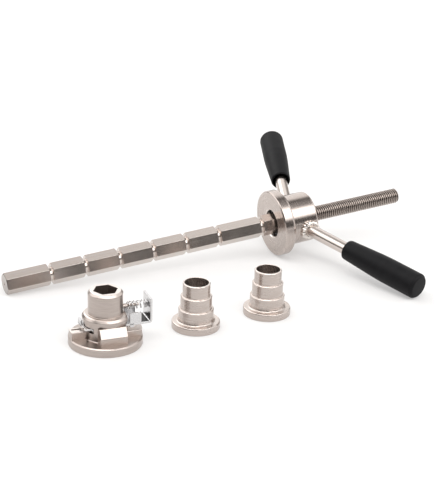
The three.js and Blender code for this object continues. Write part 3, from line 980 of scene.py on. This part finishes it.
def spring_pin():
    """Shouldered pin, its thick end in the tube's wall."""
    corners = [
        (0, PIN_START),
        (2.15, PIN_START, 0.2),
        (2.15, PIN_SHOULDER, 0.3),
        (1.5, PIN_SHOULDER),
        (1.5, PIN_END, 0.5),
        (0, PIN_END),
    ]
    return moved(lathe(rounded(corners, closed=False), 48), across_pin())


SPRING_START = 20.8
SPRING_END = 39.0
COIL_RADIUS = 3.45
WIRE_RADIUS = 0.55
CLOSED_TURNS = 0.8  # at each end
OPEN_TURNS = 4.0
COIL_STEPS = 36  # a turn


def coil_spring():
    """Compression spring with closed ends."""
    turns = OPEN_TURNS + 2 * CLOSED_TURNS
    low = SPRING_START + WIRE_RADIUS
    high = SPRING_END - WIRE_RADIUS
    rise = CLOSED_TURNS * 2 * WIRE_RADIUS
    path = []
    steps = round(turns * COIL_STEPS)
    for step in range(steps + 1):
        turn = turns * step / steps
        climb = min(max((turn - CLOSED_TURNS) / OPEN_TURNS, 0), 1)
        x = low + min(turn, CLOSED_TURNS) * 2 * WIRE_RADIUS
        x += climb * (high - low - 2 * rise)
        x += max(turn - CLOSED_TURNS - OPEN_TURNS, 0) * 2 * WIRE_RADIUS
        outward = Vector((0, *polar(1, 2 * math.pi * turn)))
        path.append((Vector((x, 0, PIN_HEIGHT)) + COIL_RADIUS * outward, outward))
    return tube(path, WIRE_RADIUS)


LATCH_LOW = 18.0
LATCH_SHEET = 2.0
LATCH_TOP = LATCH_LOW + LATCH_SHEET
LATCH_HALF = 10.4  # half the width of its ends
MIDDLE_REACH = 16.2  # half the length of its wider middle
MIDDLE_HALF = 12.9  # and half its width
LATCH_HOLE = 11.4
LATCH_HOLE_SHIFT = 2.6
EAR_START = -23
EAR_SIDE = 2  # the Y at which the left ear starts
EAR_TOP = 23.6
TAB_INSIDE = 39.5
TAB_TOP = 42
SEAT_RADIUS = 2.3  # of the boss that centres the spring on the tab
WING_TOP = 29.9
SKIRT_LOW = 16


def latch_sheet():
    """Latch bent from sheet: plate with the bar's hole, thumb tab, two wings and an ear."""
    low, top, half = LATCH_LOW, LATCH_TOP, LATCH_HALF
    outline = rounded(
        [
            (-22, -half, 0.8),
            (-MIDDLE_REACH, -half, 0.4),
            (-MIDDLE_REACH, -MIDDLE_HALF, 0.8),
            (MIDDLE_REACH, -MIDDLE_HALF, 0.8),
            (MIDDLE_REACH, -half, 0.4),
            (20.5, -half),
            (20.5, half),
            (MIDDLE_REACH, half, 0.4),
            (MIDDLE_REACH, MIDDLE_HALF, 0.8),
            (-MIDDLE_REACH, MIDDLE_HALF, 0.8),
            (-MIDDLE_REACH, half, 0.4),
            (EAR_START, half, 0.8),
            (EAR_START, EAR_SIDE, 0.4),
            (-22, EAR_SIDE),
        ]
    )
    hole = cylinder(LATCH_HOLE, low - 1, top + 1, 96)
    hole = moved(hole, Matrix.Translation((LATCH_HOLE_SHIFT, 0, 0)))
    plate = boolean(prism(outline, low, top, 0.25), "DIFFERENCE", hole)

    tab_outside = TAB_INSIDE + LATCH_SHEET
    bend = rounded(
        [
            (19, low),
            (tab_outside, low, 3.0),
            (tab_outside, TAB_TOP, 0.5),
            (TAB_INSIDE, TAB_TOP, 0.5),
            (TAB_INSIDE, top, 1.0),
            (19, top),
        ]
    )
    stand = Matrix(((1, 0, 0, 0), (0, 0, -1, 0), (0, 1, 0, 0), (0, 0, 0, 1)))
    seat = [(0, 37.6), (SEAT_RADIUS, 37.6, 0.7), (SEAT_RADIUS, 40.5), (0, 40.5)]
    parts = [
        moved(prism(bend, -half, half, 0.3), stand),
        moved(lathe(rounded(seat, closed=False), 48), across_pin()),
    ]
    for side in (1, -1):
        near, far = sorted((side * half, side * (half - LATCH_SHEET)))
        parts.append(block(20, 31.1, near, far, low, WING_TOP, 0.3))
        parts.append(block(20, 24.2, near, far, SKIRT_LOW, top, 0.3))
    parts.append(block(EAR_START, EAR_START + LATCH_SHEET, EAR_SIDE, half, low, EAR_TOP, 0.3))
    return boolean(plate, "UNION", *parts)


piece(
    "lower_plate_turning", lower_plate(), lower_frame,
    "lower_plate", milled_nickel, ["lower_plate_body"],
)
piece(
    "spring_pin", spring_pin(), lower_frame,
    "lower_plate", turned_nickel, ["latch_spring_pin"],
)
coil = piece(
    "spring_coil", coil_spring(), lower_frame,
    "lower_plate", zinc_wire, ["latch_spring"],
)
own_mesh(coil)
piece("latch_sheet", latch_sheet(), lower_frame, "latch", zinc_sheet, ["latch_plate"])

# ---------------------------------------------------------------- cup guides

GUIDE_FLANGE = 22.7
GUIDE_STEPS = [(16.6, 7.1, 19.7), (14.8, 19.7, 32.4), (13.0, 32.4, 45.0)]  # radius, low, high
GUIDE_BORE = 11.4
GUIDE_CHAMFER = 0.7


def cup_guide():
    """Flange and three steps, each chamfered at its rim, bored right through."""
    flange_top = GUIDE_STEPS[0][1]
    top = GUIDE_STEPS[-1][2]
    corners = [
        (GUIDE_BORE + 0.6, 0, 0.1),
        (GUIDE_FLANGE, 0, 0.6),
        (GUIDE_FLANGE, flange_top, 1.3),
    ]
    for radius, low, high in GUIDE_STEPS:
        corners += [
            (radius, low, 2.0 if low == flange_top else 0.5),
            (radius, high - GUIDE_CHAMFER, 0.2),
            (radius - GUIDE_CHAMFER, high, 0.2),
        ]
    corners += [(GUIDE_BORE + 0.2, top), (GUIDE_BORE, top - 0.2), (GUIDE_BORE, 0.6)]
    return lathe(rounded(corners))


for label in "ab":
    node = f"cup_guide_{label}"
    local = Matrix.Translation(floor_centre(node))
    piece(
        f"guide_{label}_turning", cup_guide(), local,
        f"guide_{label}", guide_nickel, [node],
    )

# ---------------------------------------------------------- camera and light

CAMERA_PLACE = Vector((-0.6324, -1.3297, 0.6094))
CAMERA_HEADING = math.radians(25.68)  # clockwise from +Y, seen from above
CAMERA_PITCH = math.radians(21.85)
CAMERA_ROLL = math.radians(1.73)
SENSOR = 36.0
FOCAL_SHARE = 1550 / 495  # focal length over the height of the frame
HEADING_X = math.sin(CAMERA_HEADING)
HEADING_Y = math.cos(CAMERA_HEADING)

FLOOR_HALF = 8  # m
FLOOR_HEIGHT = -0.0002
PAPER_DARK = (0.50, 0.498, 0.496, 1)
PAPER_LIGHT = (0.515, 0.513, 0.511, 1)
# Near the kit the floor glows as a painted pool of light; further off its paper is painted darker,
# as painted shade.
PAPER_UNLIT = (0.26, 0.258, 0.256, 1)
FLOOR_GLOW = 0.37
GLOW_COLOR = (1, 0.99, 0.985, 1)
GLOW_SHIFT = 0.45
GLOW_EDGE = (0.9, 1.5)  # distances over which its glow fades

BASE_LIGHT = 0.09
# azimuth, elevation, half their extents, softness of the edge, all in degrees; then strength.
# Azimuth 0 is behind the camera and 90 is to its right.
PANELS = (
    ((188, 13, 30, 43, 8), 1.2),
    ((54, 43, 34, 17, 9), 3.4),
    ((113, 20, 32, 30, 8), 1.3),
    ((-112, 40, 44, 22, 8), 1.9),
    ((-25, 66, 60, 15, 8), 3.6),
    ((0, 90, 190, 14, 9), 0.3),
)
DIM_TINT = (1.0, 0.95, 0.92, 1)
BRIGHT_TINT = (1.0, 0.99, 0.98, 1)
TINT_SPAN = (0.3, 1.0)  # strengths of light, from the dim tint to the bright one


def make_camera():
    """Camera at the photo's place and angle."""
    heading = Vector((HEADING_X, HEADING_Y, 0))
    forward = heading * math.cos(CAMERA_PITCH) - Vector((0, 0, math.sin(CAMERA_PITCH)))
    camera = bpy.data.objects.new("camera", bpy.data.cameras.new("camera"))
    bpy.context.scene.collection.objects.link(camera)
    level = placement(CAMERA_PLACE, -forward, heading.cross(Vector((0, 0, 1))))
    camera.matrix_world = level @ Matrix.Rotation(CAMERA_ROLL, 4, "Z")
    camera.data.sensor_width = SENSOR
    camera.data.lens = SENSOR * FOCAL_SHARE
    camera.data.clip_end = 50
    bpy.context.scene.camera = camera


def make_floor():
    bm = bmesh.new()
    bmesh.ops.create_grid(bm, x_segments=2, y_segments=2, size=FLOOR_HALF)
    mesh = bpy.data.meshes.new("floor")
    bm.to_mesh(mesh)
    bm.free()
    material, graph = new_material("floor_paper")
    place = graph.node("ShaderNodeTexCoord", output="Object")
    paper = graph.mix(graph.noise(place, 3), PAPER_DARK, PAPER_LIGHT)
    ends = {0: place, 1: (GLOW_SHIFT * HEADING_X, GLOW_SHIFT * HEADING_Y, 0)}
    away = graph.node("ShaderNodeVectorMath", ends, "Value", operation="DISTANCE")
    # painted pool of light near the kit, painted shade on the paper beyond
    lit = graph.between(away, *GLOW_EDGE, 1, 0)
    surface(
        graph,
        base_color=graph.mix(lit, PAPER_UNLIT, paper),
        roughness=0.9,
        specular_ior_level=0.05,
        emission_color=GLOW_COLOR,
        emission_strength=graph.math("MULTIPLY", lit, FLOOR_GLOW),
    )
    mesh.materials.append(material)
    floor = bpy.data.objects.new("floor", mesh)
    bpy.context.scene.collection.objects.link(floor)
    floor.location.z = FLOOR_HEIGHT


def make_world():
    """Studio round the set: a dim room with soft panels behind it, overhead and at the sides."""
    world = bpy.data.worlds.new("studio")
    bpy.context.scene.world = world
    world.use_nodes = True
    graph = Graph(world.node_tree)
    x, y, z = graph.split(graph.node("ShaderNodeTexCoord", output="Generated"))

    def weighed(operation, a, b):
        """x times a and y times b, added or subtracted."""
        return graph.math(operation, graph.math("MULTIPLY", x, a), graph.math("MULTIPLY", y, b))

    def degrees(angle):
        return graph.math("MULTIPLY", angle, 180 / math.pi)

    forward = weighed("ADD", HEADING_X, HEADING_Y)
    right = weighed("SUBTRACT", HEADING_Y, HEADING_X)
    azimuth = degrees(graph.math("ARCTAN2", right, graph.math("MULTIPLY", forward, -1.0)))
    elevation = degrees(graph.math("ARCSINE", z))

    def panel(az, el, half_az, half_el, soft):
        """Share of a panel's light that comes from a direction, eased at the panel's edges."""
        turn = graph.math("WRAP", graph.math("SUBTRACT", azimuth, az), 180.0, -180.0)
        side = graph.between(graph.math("ABSOLUTE", turn), half_az - soft, half_az + soft, 1, 0)
        lift = graph.math("ABSOLUTE", graph.math("SUBTRACT", elevation, el))
        rise = graph.between(lift, half_el - soft, half_el + soft, 1, 0)
        return graph.math("MULTIPLY", side, rise)

    light = BASE_LIGHT
    for place, strength in PANELS:
        light = graph.math("ADD", light, graph.math("MULTIPLY", panel(*place), strength))
    tint = graph.mix(graph.between(light, *TINT_SPAN), DIM_TINT, BRIGHT_TINT)
    background = graph.node("ShaderNodeBackground", {"Color": tint, "Strength": light})
    graph.node("ShaderNodeOutputWorld", {"Surface": background})


make_camera()
make_floor()
make_world()

scene = bpy.context.scene
scene.view_settings.view_transform = "Standard"
scene.cycles.use_denoising = True
